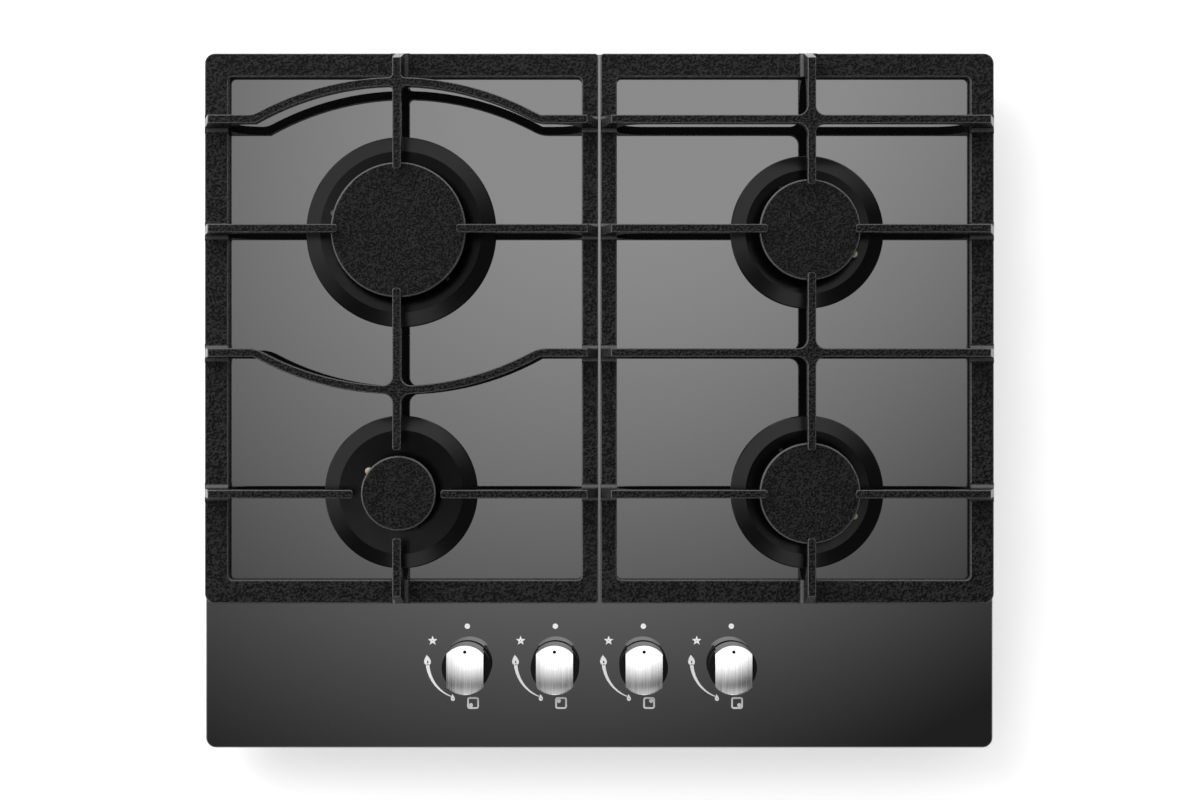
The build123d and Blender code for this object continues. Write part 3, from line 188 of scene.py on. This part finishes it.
spreader = Finish("flame_spreader_metal", (0.3, 0.28, 0.26), Metallic=1.0, Roughness=0.6)
heat = spreader.ramp(spreader.noise(0.01), 0.35, 0.65)
spreader.vary("Base Color", spreader.blend(heat, (0.16, 0.14, 0.125), (0.36, 0.345, 0.33)))
spreader.vary("Roughness", spreader.ramp(heat, 0, 1, 0.7, 0.5))
spreader.relief(spreader.noise(0.0007, detail=4), 0.00012, 0.8)
spreader.dress(*[f"flame_spreader_{name}" for name in BURNERS])

# ---- Spark module and its leads ------------------------------------------------------------------
# A potted ignition module in an off-white case, with four silicone leads to the electrodes.
# The case is matt with a slight yellow cast, and the leads are smooth and pale.
case = Finish("module_case", (0.72, 0.7, 0.64), Roughness=0.5)
case.vary("Base Color", case.blend(case.noise(0.02), (0.68, 0.66, 0.6), (0.76, 0.74, 0.69)))
case.relief(case.noise(0.0005, detail=1), 0.00004, 0.6)
case.dress("spark_generator")
silicone = Finish("silicone_lead", (0.62, 0.62, 0.6), Roughness=0.45)
silicone.vary("Base Color", silicone.blend(silicone.noise(0.01), (0.56, 0.56, 0.54), (0.68, 0.68, 0.66)))
silicone.relief(silicone.noise(0.0006), 0.00003, 0.5)
silicone.dress("ignition_leads")

# ---- Glass top -----------------------------------------------------------------------------------
# Six millimetres of toughened glass with black enamel fired on its underside and ground edges.
# It is a dark mirror: only the reflection of the studio shows in it.
GLASS_TOP = 0.054
glass = Finish("black_glass", (0.003, 0.003, 0.0033), Roughness=0.015, IOR=1.9)
glass.vary("Roughness", glass.ramp(glass.noise(0.05), 0.3, 0.7, 0.012, 0.03))
glass.relief(glass.noise(0.09, detail=1), 0.00002, 0.15)
glass.dress("glass_panel")

# ---- Printed marks -------------------------------------------------------------------------------
# White ceramic ink, screen-printed on the glass and fired: an off dot, a spark star, a large and a small
# flame joined by a tapering arc, and a plan of the hob with the knob's own burner filled in.
INK_T = 0.00004
KNOB_X = (-0.099, -0.033, 0.033, 0.099)
KNOB_Y = -0.1982
ARC_FROM, ARC_TO = 181.0, 243.5            # degrees about the knob
ARC_FAR, ARC_NEAR = 0.0297, 0.0262         # its radius at each end
ARC_WIDE, ARC_FINE = 0.0026, 0.0006
PLAN_CENTRE, PLAN_HALF, PLAN_LINE, PLAN_CORNER = (0.0043, -0.0283), 0.0044, 0.0013, 0.0019
FILLED = ((-1, -1), (-1, 1), (1, 1), (1, -1))
SPOT_OFF, SPOT_R = 0.52, 0.5               # the filled burner in the plan, as shares of its inner half
OFF_DOT = (0, 0.0293, 0.002)               # x, y from the knob's centre, radius
STAR, STAR_EYE = (-0.026, 0.0185, 0.0037, 0.0016), (-0.026, 0.0184, 0.00032, 12)
LARGE_FLAME, LARGE_FLAME_EYE = (-0.0298, 0.0033, 0.0052, 0.0077), (-0.0297, 0.0024, 0.0011, 0.0024)
SMALL_FLAME, SMALL_FLAME_EYE = (-0.0108, -0.0246, 0.0031, 0.005), (-0.0107, -0.0251, 0.0007, 0.0014)


def ring(cx, cy, radius, steps=32):
    return [(cx + radius * cos(2 * pi * n / steps), cy + radius * sin(2 * pi * n / steps))
            for n in range(steps)]


def star(cx, cy, far, close):
    return [(cx + r * sin(pi * n / 5), cy + r * cos(pi * n / 5))
            for n in range(10) for r in [(far, close)[n % 2]]]


def flame(cx, cy, width, height, lean=0.12):
    """A drop: a round belly that narrows to a tip, which leans a little to the left."""
    points = []
    for n in range(40):
        turn = 2 * pi * n / 40
        up = (1 - cos(turn)) / 2
        half = width / 2 * sin(turn) * (1 - up) ** 0.55 * 1.28
        points.append((cx + half - lean * width * up ** 2, cy + height * (up - 0.42)))
    return points


def tapered_arc(steps=36):
    def edge(n, side):
        share = n / steps
        turn = radians(ARC_FROM + (ARC_TO - ARC_FROM) * share)
        r = ARC_FAR + (ARC_NEAR - ARC_FAR) * share + side * (ARC_WIDE + (ARC_FINE - ARC_WIDE) * share) / 2
        return r * cos(turn), r * sin(turn)
    mid = radians(ARC_FROM)
    cap = [(ARC_FAR * cos(mid) + ARC_WIDE / 2 * cos(mid + pi * n / 8), ARC_FAR * sin(mid)
            + ARC_WIDE / 2 * sin(mid + pi * n / 8)) for n in range(-7, 0)]
    return [edge(n, 1) for n in range(steps + 1)] + [edge(n, -1) for n in range(steps, -1, -1)] + cap


def rounded_square(cx, cy, half, corner):
    points = []
    for sx, sy, start in ((1, 1, 0), (-1, 1, 90), (-1, -1, 180), (1, -1, 270)):
        for n in range(9):
            turn = radians(start + 90 * n / 8)
            points.append((cx + sx * (half - corner) + corner * cos(turn),
                           cy + sy * (half - corner) + corner * sin(turn)))
    return points


def printed(name, loops, x, y):
    """A thin printed film from closed loops; a loop inside another is a hole."""
    shape = bpy.data.curves.new(name, "CURVE")
    shape.dimensions, shape.fill_mode, shape.extrude = "2D", "BOTH", INK_T / 2
    for loop in loops:
        spline = shape.splines.new("POLY")
        spline.points.add(len(loop) - 1)
        for point, (px, py) in zip(spline.points, loop):
            point.co = (x + px, y + py, 0, 1)
        spline.use_cyclic_u = True
    mesh = bpy.data.meshes.new_from_object(bpy.data.objects.new(name + "_outline", shape))
    mesh.transform(Matrix.Translation((0, 0, GLASS_TOP + INK_T / 2)))
    film = bpy.data.objects.new(name, mesh)
    bpy.context.scene.collection.objects.link(film)
    return film


ink = Finish("white_ink", (0.93, 0.93, 0.93), Roughness=0.5)
ink.vary("Base Color", ink.blend(ink.noise(0.0012), (0.9, 0.9, 0.9), (0.96, 0.96, 0.96)))
ink.relief(ink.noise(0.0003), 0.00001, 0.4)
for number, (x, (fill_x, fill_y)) in enumerate(zip(KNOB_X, FILLED), 1):
    cx, cy = PLAN_CENTRE
    inner = PLAN_HALF - PLAN_LINE
    loops = [ring(*OFF_DOT), star(*STAR), ring(*STAR_EYE), flame(*LARGE_FLAME), flame(*LARGE_FLAME_EYE),
             tapered_arc(), flame(*SMALL_FLAME), flame(*SMALL_FLAME_EYE),
             rounded_square(cx, cy, PLAN_HALF, PLAN_CORNER),
             rounded_square(cx, cy, inner, PLAN_CORNER - PLAN_LINE)]
    marks = printed(f"knob_marks_{number}", loops, x, KNOB_Y)
    filled = ring(cx + fill_x * inner * SPOT_OFF, cy + fill_y * inner * SPOT_OFF, inner * SPOT_R)
    spot = printed(f"burner_plan_dot_{number}", [filled], x, KNOB_Y)
    for film in (marks, spot):
        film.data.materials.append(ink.material)
        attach(film, "hob")

# ---- Spindle seals and feet ----------------------------------------------------------------------
# Black silicone grommets round the spindles, and the soft feet pressed into the pan supports.
# Both have the faint bloom and dull shine of moulded rubber.
rubber = Finish("moulded_rubber", (0.018, 0.018, 0.018), Roughness=0.75)
rubber.vary("Roughness", rubber.ramp(rubber.noise(0.003), 0.3, 0.7, 0.62, 0.85))
rubber.relief(rubber.noise(0.0005), 0.00004, 0.6)
rubber.dress("spindle_seals", "support_feet_left", "support_feet_right")

# ---- Burner rings --------------------------------------------------------------------------------
# Pressed steel rings under satin black enamel, laid loose on the glass round each burner.
# The enamel runs a little thick and wavy, as fired enamel does.
enamel = Finish("satin_black_enamel", (0.0015, 0.0015, 0.0016), Specular_IOR_Level=0.1, Coat_Roughness=0.22)
enamel.vary("Coat Weight", enamel.edges())
enamel.vary("Roughness", enamel.ramp(enamel.noise(0.01), 0.3, 0.7, 0.16, 0.24))
enamel.relief(enamel.noise(0.003), 0.00003, 0.35)
enamel.dress(*[f"burner_base_{name}" for name in BURNERS])

# ---- Electrodes and thermocouples ----------------------------------------------------------------
# The electrode is a wire in a glazed white ceramic, and the thermocouple a drawn steel rod.
# The ceramic is stained straw by the flame, and black with soot beside the large burner, as the rods are.
ceramic = Finish("glazed_ceramic", (0.4, 0.33, 0.22), Roughness=0.3)
LARGE_BURNER = Vector((*BURNERS["rear_left"], 0.07))
CLEAN_FROM, SOOTY_TO = 0.09, 0.07          # distances from the middle of the large burner
away = ceramic.node("ShaderNodeVectorMath", {"operation": "DISTANCE"},
                    {0: ceramic.place(), 1: LARGE_BURNER}, "Value")
soot = ceramic.ramp(away, CLEAN_FROM, SOOTY_TO)
straw = ceramic.blend(ceramic.noise(0.003), (0.3, 0.23, 0.14), (0.66, 0.57, 0.4))
ceramic.vary("Base Color", ceramic.blend(soot, straw, (0.03, 0.028, 0.025)))
ceramic.relief(ceramic.noise(0.0008), 0.00003, 0.4)
ceramic.dress("igniters")
probe = Finish("sooty_steel", (0.03, 0.026, 0.022), Metallic=1.0, Roughness=0.55)
probe.vary("Base Color", probe.blend(probe.noise(0.003), (0.015, 0.013, 0.012), (0.05, 0.043, 0.036)))
probe.relief(probe.noise(0.0005), 0.00003, 0.5)
probe.dress("thermocouples")

# ---- Burner caps ---------------------------------------------------------------------------------
# Pressed steel lids with matt black enamel, fired with a leathery, pebbled skin.
# The rounded edge has a painted highlight: its colour is lightened to grey, with a little clear coat shine on
# top.
pebbled = Finish("pebbled_enamel", (0.0025, 0.0025, 0.0026), Specular_IOR_Level=0.11, Coat_Roughness=0.25)
pebbles = pebbled.noise(0.0014, detail=1.5, rough=0.5)
skin = pebbled.blend(pebbled.ramp(pebbles, 0.42, 0.6), (0.0005, 0.0005, 0.0005), (0.017, 0.017, 0.017))
# painted highlight: the colour turns light grey on the rounded edges, standing in for the studio's reflection
pebbled.vary("Base Color", pebbled.blend(pebbled.edges(), skin, (0.11, 0.11, 0.11)))
pebbled.vary("Coat Weight", pebbled.edges() * 0.7)
pebbled.vary("Roughness", pebbled.ramp(pebbled.noise(0.006), 0.3, 0.7, 0.2, 0.28))
pebbled.relief(pebbled.ramp(pebbles, 0.3, 0.7), 0.0005, 0.9)
pebbled.dress(*[f"burner_cap_{name}" for name in BURNERS])

# ---- Knobs ---------------------------------------------------------------------------------------
# A black moulded core inside a sleeve of brushed stainless steel. The brushing runs from front to back over
# the crowned top. The index dot is a black button over the hole in the sleeve, where the core comes through.
moulded = Finish("knob_core", (0.003, 0.003, 0.0031), Specular_IOR_Level=0.1)
moulded.vary("Roughness", moulded.ramp(moulded.noise(0.004), 0.3, 0.7, 0.3, 0.42))
moulded.relief(moulded.noise(0.0006), 0.00003, 0.5)
moulded.dress(*[f"knob_body_{n}" for n in range(1, 5)])

brushed = Finish("brushed_sleeve", (0.66, 0.66, 0.665), Metallic=1.0)
hairline = brushed.noise(0.0007, detail=3, stretch=(1, 0.02, 0.3))
streaks = brushed.ramp(hairline, 0.3, 0.7)
brushed.vary("Base Color", brushed.blend(streaks, (0.56, 0.56, 0.565), (0.76, 0.76, 0.765)))
brushed.vary("Roughness", brushed.ramp(hairline, 0.3, 0.7, 0.08, 0.15))
along = brushed.node("ShaderNodeSeparateXYZ", {}, {"Vector": brushed.place()}, "Y")
CROWN_LEAN = 0.032                          # the crown of the sleeve falls away to the back
HAIRLINE_DEPTH = 0.00001
brushed.relief(hairline * HAIRLINE_DEPTH - along * CROWN_LEAN, 1.0)
brushed.dress(*[f"knob_cover_{n}" for n in range(1, 5)])

DOT_AHEAD, DOT_R, DOT_STEPS = 0.0134, 0.00135, 24
DOT_DEPTH, DOT_CROWN = 0.0003, 0.00008


def index_dot(name, x, y, top):
    """A black button with a slightly raised middle."""
    rim = ring(x, y, DOT_R, DOT_STEPS)
    points = [(px, py, z) for z in (top - DOT_DEPTH, top) for px, py in rim] + [(x, y, top + DOT_CROWN)]
    steps = [(n, (n + 1) % DOT_STEPS) for n in range(DOT_STEPS)]
    sides = [(a, b, DOT_STEPS + b, DOT_STEPS + a) for a, b in steps]
    lid = [(DOT_STEPS + a, DOT_STEPS + b, 2 * DOT_STEPS) for a, b in steps]
    foot = [tuple(range(DOT_STEPS - 1, -1, -1))]
    mesh = bpy.data.meshes.new(name)
    mesh.from_pydata(points, [], sides + lid + foot)
    button = bpy.data.objects.new(name, mesh)
    bpy.context.scene.collection.objects.link(button)
    return button


HOLE_REACH = 1.4 * DOT_R                   # the sleeve's vertices this near are round its hole
for number, x in enumerate(KNOB_X, 1):
    place = Vector((x, KNOB_Y + DOT_AHEAD))
    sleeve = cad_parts[f"knob_cover_{number}"].data.vertices
    rim_z = max(v.co.z for v in sleeve if (v.co.xy - place).length < HOLE_REACH)
    dot = index_dot(f"index_dot_{number}", place.x, place.y, rim_z)
    dot.data.materials.append(moulded.material)
    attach(dot, f"knob_{number}")

# ---- Pan supports --------------------------------------------------------------------------------
# Sand-cast iron, coated with matt black enamel.
# The sand leaves a skin of lumps just under 2 mm, and the edges of the ribs carry a painted highlight, with a
# little clear coat shine.
iron = Finish("enamelled_cast_iron", (0.0025, 0.0025, 0.0027), Specular_IOR_Level=0.12, Coat_Roughness=0.25)
lumps = iron.noise(0.0018, detail=1.5, rough=0.5)
skin = iron.blend(iron.ramp(lumps, 0.42, 0.6), (0.0005, 0.0005, 0.0005), (0.02, 0.02, 0.02))
# painted highlight: the colour turns light grey on the rounded rib edges, standing in for the studio's
# reflection
iron.vary("Base Color", iron.blend(iron.edges(), skin, (0.09, 0.09, 0.09)))
iron.vary("Coat Weight", iron.edges() * 0.5)
iron.vary("Roughness", iron.ramp(iron.noise(0.008), 0.3, 0.7, 0.2, 0.28))
iron.relief(iron.ramp(lumps, 0.3, 0.7), 0.0007, 0.9)
iron.dress("pan_support_left", "pan_support_right")

# ---- Studio --------------------------------------------------------------------------------------
# The hob stands on a white floor under a large soft box that hangs a little behind it. Only shiny surfaces
# see the soft box and the walls. The plain light is brighter from the back left, where the key lamp hangs.
EYE_UP = 1.55                              # camera over the glass
FRAME_W = 0.9                              # width of the picture at the glass
SENSOR = 0.036
camera_data = bpy.data.cameras.new("camera")
camera_data.sensor_width, camera_data.lens = SENSOR * 1000, SENSOR * 1000 * EYE_UP / FRAME_W
camera = bpy.data.objects.new("camera", camera_data)
camera.location = (0.0005, 0.00075, GLASS_TOP + EYE_UP)
bpy.context.scene.collection.objects.link(camera)
bpy.context.scene.camera = camera
bpy.context.scene.view_settings.view_transform = "Standard"


class Studio(Finish):
    """The world: what lights the hob, what its shiny surfaces see, and a white surround."""

    def __init__(self):
        world = bpy.data.worlds.new("studio")
        bpy.context.scene.world = world
        world.use_nodes = True
        self.tree = world.node_tree
        self.tree.nodes.clear()


studio = Studio()
BOX_AHEAD = (0.0286, 0.172)                # where the soft box hangs, as slopes from upright
BOX_SHADE, BOX_SKEW = 3.0, 1.13            # how fast it dims away from its middle, and its slant
BOX_TONE, BOX_CAP, BOX_FLOOR = 0.564, 0.537, 0.13
MIRROR = 0.0963                            # share of light that the glass reflects
aim = studio.node("ShaderNodeTexCoord", {}, {}, "Generated")
split = [studio.node("ShaderNodeSeparateXYZ", {}, {"Vector": aim}, axis) for axis in range(3)]
upward = studio.node("ShaderNodeMath", {"operation": "MAXIMUM"}, {0: split[2], 1: 0.05})
east, north = split[0] / upward - BOX_AHEAD[0], split[1] / upward - BOX_AHEAD[1]
tone = BOX_TONE - (east * east + north * north) * BOX_SHADE + east * north * BOX_SKEW
tone = studio.node("ShaderNodeMath", {"operation": "MINIMUM"}, {0: tone, 1: BOX_CAP})
tone = studio.node("ShaderNodeMath", {"operation": "MAXIMUM"}, {0: tone, 1: BOX_FLOOR})
soft_box = tone ** 2.2 / MIRROR
toward_front = split[1] / upward
aside = split[0] / upward
FRONT_STARTS, FRONT_SIDES, FRONT_BRIGHT = (-0.19, -0.3), (0.05, 0.02), 1.2     # a narrow strip in front
front_middle = studio.ramp(aside * aside, *FRONT_SIDES, 0.0, FRONT_BRIGHT)
front_wall = studio.ramp(toward_front, *FRONT_STARTS) * front_middle
BACK_SLANT = 0.6                           # how far to the left the back wall and the plain light lie
BACK_UNDER, BACK_FROM, BACK_BRIGHT = (0.965, 0.92), (-0.1, 0.35), 1.3
back_left = split[1] - split[0] * BACK_SLANT
back_wall = studio.ramp(split[2], *BACK_UNDER) * studio.ramp(back_left, *BACK_FROM, 0.0, BACK_BRIGHT)
seen_by_gloss = soft_box + front_wall + back_wall
rays = studio.tree.nodes.new("ShaderNodeLightPath")
is_camera, is_glossy = [Wire(studio, rays.outputs[name]) for name in ("Is Camera Ray", "Is Glossy Ray")]
FILL_SPAN, FILL_DIM, FILL_BRIGHT = (-0.7, 0.9), 0.08, 1.3     # the plain light, from front right to back left
fill = studio.ramp(back_left, *FILL_SPAN, FILL_DIM, FILL_BRIGHT)
strength = is_camera + (1 - is_camera) * (is_glossy * seen_by_gloss + (1 - is_glossy) * fill)
light = studio.node("ShaderNodeBackground", {}, {"Color": (1, 1, 1, 1), "Strength": strength})
out = studio.tree.nodes.new("ShaderNodeOutputWorld")
studio.tree.links.new(light.socket, out.inputs["Surface"])

KEY_PLACE, KEY_AIM, KEY_SIZE, KEY_POWER = Vector((-0.9, 1.0, 1.5)), Vector((0, 0, 0.05)), 1.2, 18.0
lamp_data = bpy.data.lights.new("key_lamp", "AREA")
lamp_data.size, lamp_data.energy = KEY_SIZE, KEY_POWER
lamp = bpy.data.objects.new("key_lamp", lamp_data)
lamp.location = KEY_PLACE
lamp.rotation_euler = (KEY_AIM - KEY_PLACE).to_track_quat("-Z", "Y").to_euler()
lamp.visible_glossy = False                # no square image of it in the glass
bpy.context.scene.collection.objects.link(lamp)

floor_mesh = bpy.data.meshes.new("floor")
REACH, FLOOR_GAP, FLOOR_GLOW = 6.0, 0.0005, 0.5
corners = [(-REACH, -REACH, 0), (REACH, -REACH, 0), (REACH, REACH, 0), (-REACH, REACH, 0)]
floor_mesh.from_pydata(corners, [], [(0, 1, 2, 3)])
floor = bpy.data.objects.new("floor", floor_mesh)
floor.location.z = -FLOOR_GAP
bpy.context.scene.collection.objects.link(floor)
white = Finish("white_floor", (0.8, 0.8, 0.8), Roughness=0.9)
paths = white.tree.nodes.new("ShaderNodeLightPath")
seen = Wire(white, paths.outputs["Is Camera Ray"]) + Wire(white, paths.outputs["Is Glossy Ray"])
white.shader.inputs["Emission Color"].default_value = (1, 1, 1, 1)
white.tree.links.new((seen * FLOOR_GLOW).socket, white.shader.inputs["Emission Strength"])
floor.data.materials.append(white.material)
